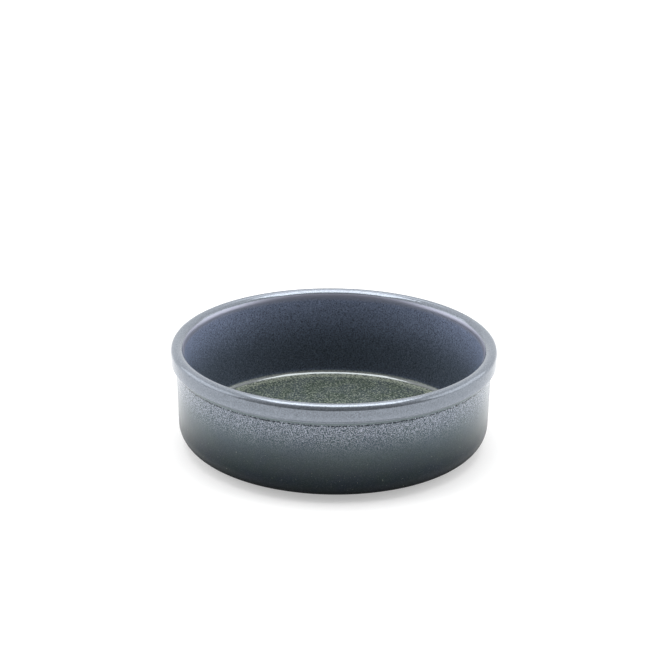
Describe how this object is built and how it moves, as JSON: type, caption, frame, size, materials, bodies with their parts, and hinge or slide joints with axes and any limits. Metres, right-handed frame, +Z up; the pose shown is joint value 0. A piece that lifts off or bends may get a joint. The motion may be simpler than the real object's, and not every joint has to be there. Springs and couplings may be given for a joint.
{
  "type": "tapas dish",
  "caption": "Small round straight-sided tapas dish in slate-blue reactive-glazed ceramic, with a raised rim band, a rounded lower corner and a bare foot ring, for serving or oven use.",
  "frame": {"origin": "centre of the foot ring, on the plane that it stands on", "axes": "+Z up along the dish's axis of revolution, out of the bowl's mouth; X and Y across the dish, all directions alike"},
  "size_m": [0.13, 0.13, 0.042],
  "materials": {
    "bare_clay": "matte",
    "reactive_glaze": "gloss",
    "underside_glaze": "satin"
  },
  "bodies": {
    "root": {"clay_body": "bare_clay", "glaze_coat": "reactive_glaze", "underside_glaze": "underside_glaze"}
  },
  "joints": []
}
